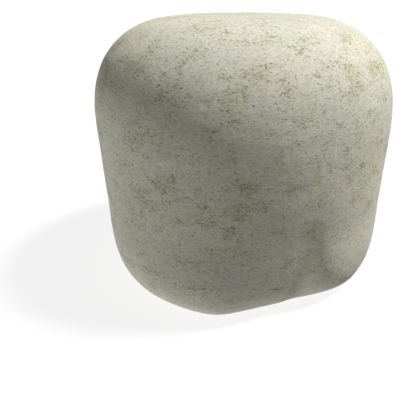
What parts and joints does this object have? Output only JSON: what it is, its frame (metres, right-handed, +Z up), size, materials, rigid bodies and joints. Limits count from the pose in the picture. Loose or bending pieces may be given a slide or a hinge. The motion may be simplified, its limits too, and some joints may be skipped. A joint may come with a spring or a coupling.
{
  "type": "cheese wheel",
  "caption": "Tall drum of natural-rind cheese with a broad round shoulder, a flat base and a slumped lower front edge.",
  "frame": {"origin": "middle of the flat base, on the surface the cheese stands on", "axes": "+Z up through the drum, -Y towards the front with the slumped lower edge, +X to the viewer's right"},
  "size_m": [0.2, 0.2, 0.176],
  "materials": {
    "rind": "dry natural cheese rind: pale warm grey, matt and dusty, finely pitted, with olive mould flecks"
  },
  "bodies": {
    "root": {"cheese_wheel": "rind"}
  },
  "joints": []
}
